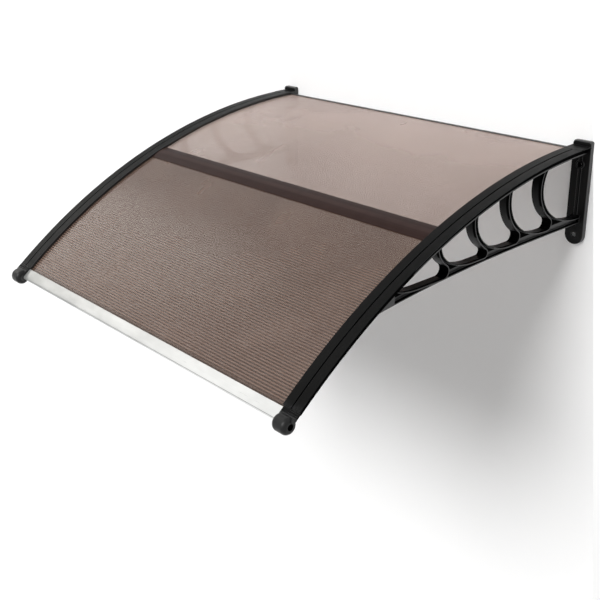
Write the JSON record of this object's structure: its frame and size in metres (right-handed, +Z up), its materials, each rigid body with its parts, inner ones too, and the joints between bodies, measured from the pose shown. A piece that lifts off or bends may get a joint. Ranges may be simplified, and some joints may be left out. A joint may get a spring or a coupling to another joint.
{
  "type": "door canopy",
  "caption": "Arched door canopy: bronze twin-wall sheets between black moulded wall brackets with pierced trusses, a brown joiner and a bright front rail.",
  "frame": {"origin": "on the wall plane, midway between the two brackets, level with the brackets' top surface where it meets their wall plates", "axes": "+Z up, +Y into the wall, so the canopy reaches forward along -Y, and +X to the right of someone facing the wall"},
  "size_m": [1, 0.9093, 0.3737],
  "materials": {
    "black_plastic": "satin black moulded plastic",
    "bronze_polycarbonate": "translucent bronze, fluted",
    "brown_profile": "satin dark brown",
    "aluminium": "satin bright",
    "zinc_steel": "zinc plated"
  },
  "bodies": {
    "root": {"left_bracket": "black_plastic", "right_bracket": "black_plastic", "left_press_strip": "black_plastic", "right_press_strip": "black_plastic", "left_end_cap": "black_plastic", "right_end_cap": "black_plastic", "rear_sheet": "bronze_polycarbonate", "front_sheet": "bronze_polycarbonate", "sheet_joiner": "brown_profile", "front_rail": "aluminium", "rear_edge_strip": "black_plastic", "left_screw_1": "zinc_steel", "left_screw_2": "zinc_steel", "left_screw_3": "zinc_steel", "left_screw_4": "zinc_steel", "left_screw_5": "zinc_steel", "left_screw_6": "zinc_steel", "left_screw_7": "zinc_steel", "right_screw_1": "zinc_steel", "right_screw_2": "zinc_steel", "right_screw_3": "zinc_steel", "right_screw_4": "zinc_steel", "right_screw_5": "zinc_steel", "right_screw_6": "zinc_steel", "right_screw_7": "zinc_steel"}
  },
  "joints": []
}
